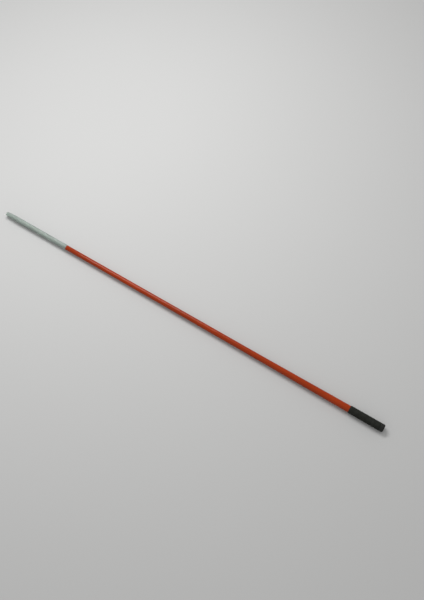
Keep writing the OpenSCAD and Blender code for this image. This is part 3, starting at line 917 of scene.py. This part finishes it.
class BATON_OT_driver(bpy.types.Operator):
    """Builds the lamp driver: board, coil, chip and capacitors"""
    bl_idname = "baton.driver"
    bl_label = "Driver"

    def execute(self, context):
        start, end, radius = span("driver_board")
        board = turned("driver_circuit", [
            (start, 0), (start, 1.3), (start, 2.5), (start, radius - 0.9), (start, radius, 0.06),
            (end, radius, 0.06), (end, radius - 0.5), (end, radius - 1.1), (end, 0)], 72)
        joined(board, *[solder((end, 0, side * JOINT_UP), 0.8, 0.9) for side in (-1, 1)])

        def copper(x, y, z):
            out = math.hypot(y, z)
            return (x < start + 0.02 and 1.3 < out < 2.5) or (
                end - 0.02 < x < end + 0.02 and radius - 1.1 < out < radius - 0.5)

        finished(board, "driver_board", "board_green", "green_mask", ("gold_pad", copper),
                 ("solder", lambda x, y, z: x > end + 0.02))
        coil_r, coil_up, coil_across, top = 1.8, 1.0, 3.6, end + 3.0
        flange, waist = 0.6, 1.35
        drum = turned("driver_coil", [
            (end, 0), (end, coil_r, 0.1), (end + flange, coil_r, 0.1), (end + flange, waist)]
            + [(end + flange + 0.15 * k, waist + 0.1 * (k % 2)) for k in range(1, 12)]
            + [(top - flange, waist), (top - flange, coil_r, 0.1), (top, coil_r, 0.1),
               (top, 0)], 40)
        drum.location = Vector((0, coil_across, coil_up)) * MM

        def winding(x, y, z):
            between = end + flange + 0.02 < x < top - flange - 0.02
            return between and math.hypot(y - coil_across, z - coil_up) < 1.5

        finished(drum, "driver_parts", "chip", "ferrite", ("copper_wire", winding))
        chip_at, lead_out, lead_pitch = -3.5, 1.25, 0.9
        chip = block("driver_chip", (end + 0.75, chip_at, 0), (1.3, 2.2, 3.6), 0.08)
        lead = block("lead", (end + 0.2, chip_at + lead_out, -1.5 * lead_pitch), (0.3, 0.5, 0.3),
                     0.05)
        leads = repeated(lead, (0, 0, lead_pitch), 4)
        leads += [copied(lead, (0, -2 * lead_out, 0)) for lead in leads]
        joined(chip, *leads)
        finished(chip, "driver_parts", "chip", "chip_epoxy",
                 ("tinned", lambda x, y, z: x < end + 0.36 and abs(y - chip_at) > 1.0
                  and abs(abs(abs(z) - lead_pitch) - lead_pitch / 2) < 0.18))
        middle, half = -0.2, 0.35
        for number, side in enumerate((-1, 1)):
            part = block(f"driver_capacitor_{number + 1}", (end + 0.3, middle, 2 * side),
                         (0.6, 1.6, 0.8), 0.06)
            scored(part, (0, 1, 0), place(0, middle - half), place(0, middle + half))
            finished(part, "driver_parts", "chip", "ceramic",
                     ("tinned", lambda x, y, z: abs(y - middle) > half + NEAR))
        return {"FINISHED"}


# ---------------------------------------------------------------- switch end

class BATON_OT_seals(bpy.types.Operator):
    """Makes the three rubber rings, each with its moulding line"""
    bl_idname = "baton.seals"
    bl_label = "Rubber rings"

    def execute(self, context):
        for node in ("tail_seal", "lamp_seal", "button_seal"):
            start, end, radius = span(node)
            middle, thick = (start + end) / 2, (end - start) / 2
            let_go()
            bpy.ops.mesh.primitive_torus_add(
                major_segments=96, minor_segments=20, major_radius=(radius - thick) * MM,
                minor_radius=thick * MM, location=place(middle), rotation=(0, math.pi / 2, 0))
            ring = started(node + "_ring")
            bevelled(ring, 0.04, 1, lambda x, y, z: abs(x - middle) < NEAR
                     and math.hypot(y, z) < radius - thick)
            finished(ring, node, "seal_rubber", "ring_rubber", angle=60)
        return {"FINISHED"}


class BATON_OT_switch(bpy.types.Operator):
    """Builds the push switch, its board, its retainer and its plunger"""
    bl_idname = "baton.switch"
    bl_label = "Switch"

    def execute(self, context):
        start, end, radius = span("switch_body")
        bore, bore_end = 1.7, 13.6
        body = turned("switch_housing", [
            (bore_end, 0), (bore_end, bore), (start, bore, 0.15), (start, 2.6), (start + 0.25, 2.8),
            (start + 0.25, 5.4), (start, 5.6), (start, radius, 0.3)]
            + grooves(start + 4, radius, radius - 0.3, 1.2, 0.2, (0.1,), (0.1,))
            + [(end, radius, 0.3), (end, 0)])
        finished(body, "switch_body", "black_plastic", "black_nylon")
        start, end, radius = span("switch_plunger")
        plunger = turned("switch_plunger_pin", [
            (start, 0), (start, radius - 0.1, 0.1), (start + 1.2, radius, 0.1),
            (end - 0.3, radius, 0.15), (end, radius - 0.4, 0.1), (end, 0.5), (end - 0.3, 0.4),
            (end - 0.3, 0)], 48)
        finished(plunger, "switch_plunger", "plunger_plastic", "red_acetal")
        start, end, radius = span("switch_board")
        rings = [4.85, 3.3, 1.6, 1.0]
        board = turned("switch_circuit", [
            (start, 0), (start, radius, 0.06), (end, radius, 0.06)] + [(end, r) for r in rings]
            + [(end, 0)], 72)

        def copper(x, y, z):
            out = math.hypot(y, z)
            return x > end - 0.02 and (rings[1] < out < rings[0] or rings[3] < out < rings[2])

        finished(board, "switch_board", "board_green", "green_mask", ("gold_pad", copper))
        start, end, radius = span("switch_retainer")
        bore = 4.9
        retainer = turned("switch_locking_ring", [
            (start, bore, 0.2), (start, radius - 0.15)]
            + grooves(start + 0.65, radius, radius - 0.22, 0.4, 0.15, count=5, pitch=0.5)
            + [(end, radius, 0.2), (end, bore, 0.2)])
        cut(retainer, block("notch", (end, 0, 0), (2, 2 * radius + 2, 1.6)))
        finished(retainer, "switch_retainer", "contact_brass", "lathe_brass")
        start, end, radius = span("button_stop_ring")
        bore = 4.0
        stop = turned("button_stop", [
            (start, bore, 0.35), (start, radius, 0.25), (end, radius, 0.25), (end, bore, 0.2)])
        finished(stop, "button_stop_ring", "black_plastic", "black_nylon")
        return {"FINISHED"}


class BATON_OT_button(bpy.types.Operator):
    """Turns the dished push button"""
    bl_idname = "baton.button"
    bl_label = "Push button"

    def execute(self, context):
        start, end, flange = span("push_button")
        radius, flange_at, seal_at, seal_wide, groove_floor = 5.9, 3.7, 2.6, 1.1, 5.15
        rim, dish_deep, dish_r, ridge_high = 0.1, 0.4, 4.4, 0.14
        ridges = [(r + side * 0.25, 1 - abs(side))
                  for r in (1.15, 2.35, 3.55) for side in (-1, 0, 1)]
        dish = [(start + rim + dish_deep * (1 - (r / dish_r) ** 2) - ridge_high * ridge, r)
                for r, ridge in [(0, 0)] + ridges]
        button = turned("push_button_dished", dish + [
            (start, 4.5, 0.2), (start + rim, 4.9, 0.2), (start + 0.36, 5.54, 0.25),
            (start + 1.2, radius, 0.3)]
            + grooves(seal_at, radius, groove_floor, seal_wide, 0, (0.08,), (0.12,))
            + [(flange_at, radius, 0.1), (flange_at, flange, 0.15), (end, flange, 0.15), (end, 0)])
        finished(button, "push_button", "button_rubber", "dished_rubber")
        return {"FINISHED"}


class BATON_OT_springs(bpy.types.Operator):
    """Winds the battery spring and the plunger's spring"""
    bl_idname = "baton.springs"
    bl_label = "Springs"

    def execute(self, context):
        spring = wound("tapered_spring", 4.15, 3, *span("battery_spring")[:2], 5, 0.45)
        finished(spring, "battery_spring", "spring_steel", "spring_wire", angle=60)
        start, end, radius = span("plunger_spring")
        small = wound("plunger_return_spring", radius - 0.2, radius - 0.2, start, end, 3, 0.2)
        finished(small, "plunger_spring", "spring_steel", "spring_wire", angle=60)
        travel = next(j for j in frame["joints"] if j["name"] == "button_press")["range_m"][1]
        room = (end - start) * MM
        place(end)
        (room - travel) / room
        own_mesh(small)
        return {"FINISHED"}


# ---------------------------------------------------------------- lamp end

class BATON_OT_coupler(bpy.types.Operator):
    """Turns and mills the lamp coupler, its pins and its screw"""
    bl_idname = "baton.coupler"
    bl_label = "Coupler"

    def execute(self, context):
        start, end, radius = span("lamp_coupler")
        bore, seal_at, seal_wide, groove_floor = 2.6, 1207, 1.8, 5.15
        coupler = turned("lamp_coupler_turned", [(start, bore, 0.3), (start, radius, 0.5)]
                         + grooves(start + 3.65, radius, radius - 0.25, 1.3, 0.25, count=5, pitch=4)
                         + grooves(seal_at, radius, groove_floor, seal_wide, 0, (0.1,), (0.2,))
                         + [(end, radius, 0.5), (end, bore, 0.4)])
        slot_deep, slot = 20, 2.1
        slit = block("slit", (end - slot_deep / 2 + 1, 0, 0), (slot_deep + 2, 2 * radius + 2, slot))
        tap = rod("tap", 4.0, 8, 1.25, 24, (0, 0, -1), place(SCREW_AT))
        cut(coupler, slit, *cross_pins("hole", reach=8, radius=PIN_R + PIN_ROOM), tap)
        finished(coupler, "lamp_coupler", "turned_aluminium", "lathe_aluminium")
        reach = math.sqrt(radius ** 2 - (PIN_OUT + PIN_R) ** 2) - 0.1
        dowels = cross_pins("cross_pins", reach, PIN_R)
        for dowel in dowels:
            bevelled(dowel, 0.18, 3, lambda x, y, z: abs(z) > reach - NEAR)
        finished(joined(*dowels), "spine_pins", "steel", "bright_steel")
        self.screw()
        return {"FINISHED"}

    def screw(self):
        """The countersunk screw with its hexagon socket."""
        screw = countersunk("countersunk_screw")
        bevelled(screw, 0.3, 2, lambda x, y, z: z > SCREW_DEEP - SCREW_TOP - NEAR)
        socket = rod("socket", SCREW_TOP - 1, SCREW_TOP + 1, 0.7, 6, (0, 0, -1), place(SCREW_AT))
        cut(screw, socket)
        finished(screw, "lamp_screw", "steel", "bright_steel")


class BATON_OT_spine(bpy.types.Operator):
    """Builds the spine and its centraliser"""
    bl_idname = "baton.spine"
    bl_label = "Spine"

    def execute(self, context):
        start, end = span("led_spine")[:2]
        wide, thick = 10, 2
        spine = block("lamp_spine", ((start + end) / 2, 0, 0), (end - start, wide, thick))
        bevelled(spine, 0.8, 4, lambda x, y, z: abs(z) < 0.1 and abs(y) > wide / 2 - 0.1
                 and min(x - start, end - x) < 0.1)
        cut(spine, *cross_pins("hole", reach=3, radius=PIN_R + PIN_ROOM))
        ease(spine, 0.12)
        finished(spine, "led_spine", "turned_aluminium", "rolled_aluminium")
        start, end, radius = span("spine_centraliser")
        crown, window_up, window_r = 0.9, 3.6, 1.6
        disc = turned("spine_spacer_disc", [
            (start, 0), (start, radius - crown, 0.3), (start + crown, radius, 0.4),
            (end - crown, radius, 0.4), (end, radius - crown, 0.3), (end, 0)], 72)
        seat = block("seat", (start + 1.525, 0, 0), (7.05, 10.1, 2.1))
        windows = [rod("window", start - 1, end + 1, window_r, middle=place(0, 0, side * window_up))
                   for side in (-1, 1)]
        cut(disc, seat, *windows)
        finished(disc, "spine_centraliser", "white_plastic", "white_nylon")
        return {"FINISHED"}


class BATON_OT_lamps(bpy.types.Operator):
    """Builds the two lamp boards with their lamps, resistors and link"""
    bl_idname = "baton.lamps"
    bl_label = "Lamps"

    def execute(self, context):
        start, end = span("upper_led_board")[:2]
        wide, low, high = 8, 1.0, 2.0
        first, pitch, count = start + 8, 14.4, 11
        for side, name in ((1, "upper"), (-1, "lower")):
            board = block(f"{name}_circuit", ((start + end) / 2, 0, side * (low + high) / 2),
                          (end - start, wide, high - low), 0.06, 1)
            top = side * high
            pads = block("pads", (first - 1.45, 0, top + side * 0.01), (0.9, 2.3, 0.04), 0.015, 1)
            pads = joined(pads, copied(pads, (2.9, 0, 0)))
            small = block("small", (first + pitch / 2 - 1, 2.75, top + side * 0.01),
                          (0.7, 1.4, 0.04), 0.015, 1)
            small = joined(small, copied(small, (2, 0, 0)))
            joints = [solder((start + 3.4, 0, top), 1.35, 1.45, (0, 0, side)),
                      solder((LINK_AT, 3.0, top), 1.1, 0.6, (0, 0, side))]
            joined(board, *repeated(pads, (pitch, 0, 0), count),
                   *repeated(small, (pitch, 0, 0), count - 1), *joints)
            finished(board, f"{name}_led_board", "board_white", "white_mask",
                     ("solder", lambda x, y, z: abs(z) > high + 0.005))
            lamp = joined(*repeated(self.lamp(first, top, side), (pitch, 0, 0), count))
            lamp.name = lamp.data.name = f"{name}_lamps"

            def phosphor(x, y, z):
                along = (x - first + pitch / 2) % pitch - pitch / 2
                return abs(abs(z) - high - 0.7) < 0.01 and abs(along) < 0.5 and abs(y) < 0.5

            def tin(x, y, z):
                along = (x - first + pitch / 2) % pitch - pitch / 2
                return abs(along) > 1.58 and abs(z) < high + 0.3 and abs(y) < 0.95

            finished(lamp, f"{name}_leds", "led", "lamp_body", ("phosphor", phosphor),
                     ("tinned", tin))
        self.resistors(first + pitch / 2, pitch, count - 1, high)
        self.link()
        return {"FINISHED"}

    def lamp(self, at, face, side):
        """One lamp package: a white box with tin feet, its well sunk round a phosphor face."""
        box = block("lamps", (at, 0, face + side * 0.45), (3.4, 2.8, 0.9), 0.1)
        chosen(box, "FACE", lambda x, y, z: abs(z) > abs(face) + 0.89)
        bpy.ops.mesh.inset(thickness=0.22 * MM)
        bpy.ops.mesh.extrude_region_move(TRANSFORM_OT_translate={"value": (0, 0, -side * 0.2 * MM)})
        bpy.ops.transform.resize(value=(0.86, 0.86, 1), center_override=place(at, 0, 0))
        let_go()
        feet = [block("foot", (at + end * 1.62, 0, face + side * 0.12), (0.26, 1.8, 0.24), 0.04)
                for end in (-1, 1)]
        return joined(box, *feet)

    def resistors(self, at, pitch, count, high):
        """A resistor on each board between every two lamps."""
        half = 0.6
        one = block("board_resistor_row", (at, 2.75, high + 0.25), (2.0, 1.25, 0.5), 0.07)
        scored(one, (1, 0, 0), place(at - half), place(at + half))
        joined(one, copied(one, (0, 0, -2 * high - 0.5)))
        joined(*repeated(one, (pitch, 0, 0), count))
        finished(one, "board_resistors", "chip", "resistor_glass",
                 ("tinned", lambda x, y, z: abs((x - at + pitch / 2) % pitch - pitch / 2) > half))

    def link(self):
        """The bare wire that joins the boards round the spine's edge."""
        top, edge, inner, bend = 2.5, 5.6, 2.8, 0.9
        corner = [(edge - bend + bend * math.sin(a), top - bend + bend * math.cos(a))
                  for a in (math.pi / 2 * k / 6 for k in range(7))]
        line = [(inner, top), (inner + 0.7, top)] + corner
        line += [(edge, 0)] + [(y, -z) for y, z in line[::-1]]
        wire = drawn_wire("board_link_wire", [place(LINK_AT, y, z) for y, z in line], 0.5)
        finished(wire, "board_link", "steel", "tinned", angle=60)


class BATON_OT_cable(bpy.types.Operator):
    """Runs the cable, its stripped cores and its foam spacers"""
    bl_idname = "baton.cable"
    bl_label = "Cable"

    def execute(self, context):
        start, end, radius = span("lamp_cable")
        steps, tip = 24, 2
        sheath = turned("cable_sheath_run", [
            (start, 0), (start, radius - 0.05, 0.3), (start + tip, radius)]
            + [(start + (end - start) * k / steps, radius) for k in range(1, steps)]
            + [(end - tip, radius), (end, radius - 0.05, 0.3), (end, 0)], 40)
        finished(sheath, "lamp_cable", "cable_sheath", "sheath_vinyl")
        driver, board, coupler = (
            span("driver_board")[1], span("upper_led_board")[0], span("lamp_coupler")[1])
        sheath_up, slot_up, board_up = 0.8, 1.75, 2.6

        def eased(start, end, low, high):
            """A smooth change of height between two stations."""
            shares = [(k / 12, 0.5 - 0.5 * math.cos(math.pi * k / 12)) for k in range(13)]
            return [(start + (end - start) * u, low + (high - low) * w) for u, w in shares]

        rear = [(driver, JOINT_UP), *eased(driver + 2, start - 2, JOINT_UP, sheath_up),
                (start, sheath_up)]
        front = [(end, sheath_up), *eased(end + 4, end + 16, sheath_up, slot_up),
                 *eased(coupler, board, slot_up, board_up), (board + 4, board_up)]
        for side, name in ((1, "red"), (-1, "black")):
            core = joined(*[
                drawn_wire(f"{name}_core", [place(s, 0, side * up) for s, up in line], 0.6)
                for line in (rear, front)])
            core.name = core.data.name = f"{name}_core_ends"
            finished(core, f"{name}_cores", f"core_{name}", f"{name}_core",
                     ("tinned", lambda x, y, z: x > board + 1.6 or x < driver + 1.2), angle=60)
        self.spacers()
        return {"FINISHED"}

    def spacers(self):
        """The foam plugs, each as wide as the shaft's bore is where it sits."""
        low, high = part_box("cable_spacers")
        points = [local(v.co) for v in frame["nodes"]["cable_spacers"].data.vertices]
        long, number, hole, slack = 22, 4, 1.75, 0.1
        first, last = (low.x - BUTT_X) / MM, (high.x - BUTT_X) / MM - long
        for k in range(number):
            start = first + (last - first) * k / (number - 1)
            end = start + long
            outer = max(math.hypot(y, z) for x, y, z in points if start - slack < x < end + slack)
            waist = outer - 0.12
            plug = turned(f"foam_spacer_{k + 1}", [
                (start, hole, 0.3), (start, outer, 1.2), (start + long * 0.3, waist, 4),
                (start + long * 0.7, waist, 4), (end, outer, 1.2), (end, hole, 0.3)], 64)
            finished(plug, "cable_spacers", "foam", "grey_foam", angle=50)


# ---------------------------------------------------------------- stage

class BATON_OT_stage(bpy.types.Operator):
    """Adds the floor, the lights and the camera"""
    bl_idname = "baton.stage"
    bl_label = "Stage"

    def execute(self, context):
        scene, view = context.scene, context.scene.baton_stage
        let_go()
        bpy.ops.mesh.primitive_circle_add(vertices=96, radius=9, fill_type="NGON",
                                          location=(0, 0, 0))
        floor = started("studio_floor")
        edit()
        bpy.ops.mesh.inset(thickness=1)
        let_go()
        grey = scene.baton_colours.floor
        paint = Finish("studio_floor", grey, 0.9, Specular_IOR_Level=0.1)
        clouds = paint.noise(900)
        paint.set("Base Color", paint.mix(clouds, shade_of(grey, 0.985), shade_of(grey, 1.015)))
        floor.data.materials.append(paint.material)
        world = bpy.data.worlds.new("studio_air")
        scene.world = world
        world.use_nodes = True
        air = world.node_tree.nodes["Background"].inputs
        air["Color"].default_value, air["Strength"].default_value = (1, 1, 1, 1), 0.6
        self.softbox(scene, "overhead_softbox", at=(0.9, -0.68, 1.8), aim=(0.1, 0, 0),
                     size=(1.4, 0.4), power=30)
        camera = bpy.data.objects.new("camera", bpy.data.cameras.new("camera"))
        scene.collection.objects.link(camera)
        level = math.cos(view.elevation)
        back = Vector((math.sin(view.azimuth) * level, -math.cos(view.azimuth) * level,
                       math.sin(view.elevation)))
        middle = Vector((-0.0465, -0.0992, 0))
        camera.location = middle + back * view.distance
        camera.rotation_euler = (-back).to_track_quat("-Z", "Y").to_euler()
        camera.data.lens, camera.data.sensor_width = view.lens, 36
        scene.camera = camera
        scene.view_settings.view_transform = "Standard"
        return {"FINISHED"}

    def softbox(self, scene, name, at, aim, size, power):
        """A rectangular area light that faces a point."""
        light = bpy.data.lights.new(name, "AREA")
        light.shape, light.size, light.size_y, light.energy = "RECTANGLE", size[0], size[1], power
        lamp = bpy.data.objects.new(name, light)
        scene.collection.objects.link(lamp)
        lamp.location = at
        lamp.rotation_euler = (Vector(aim) - Vector(at)).to_track_quat("-Z", "Y").to_euler()


class BATON_PT_panel(bpy.types.Panel):
    bl_idname = "BATON_PT_panel"
    bl_label = "Traffic Baton Light"
    bl_space_type = "VIEW_3D"
    bl_region_type = "UI"
    bl_category = "Baton"

    def draw(self, context):
        for group in GROUPS:
            settings = getattr(context.scene, group)
            for name in settings.bl_rna.properties.keys():
                if name not in ("name", "rna_type"):
                    self.layout.prop(settings, name)
        for operator in OPERATORS:
            self.layout.operator(operator.bl_idname)


GROUPS = {"baton_grip": BatonGrip, "baton_cap": BatonCap, "baton_colours": BatonColours,
          "baton_stage": BatonStage}
OPERATORS = [BATON_OT_shaft, BATON_OT_grip, BATON_OT_cap, BATON_OT_lamp_tube, BATON_OT_battery_tube,
             BATON_OT_cells, BATON_OT_contacts, BATON_OT_driver, BATON_OT_seals, BATON_OT_switch,
             BATON_OT_button, BATON_OT_springs, BATON_OT_coupler, BATON_OT_spine, BATON_OT_lamps,
             BATON_OT_cable, BATON_OT_stage]


def register():
    for cls in [*GROUPS.values(), *OPERATORS, BATON_PT_panel]:
        bpy.utils.register_class(cls)
    for name, group in GROUPS.items():
        setattr(bpy.types.Scene, name, PointerProperty(type=group))


def unregister():
    for name in GROUPS:
        delattr(bpy.types.Scene, name)
    for cls in [BATON_PT_panel, *OPERATORS[::-1], *GROUPS.values()]:
        bpy.utils.unregister_class(cls)


def main():
    register()
    for operator in OPERATORS:
        group, name = operator.bl_idname.split(".")
        getattr(getattr(bpy.ops, group), name)()


if __name__ == "__main__":
    main()
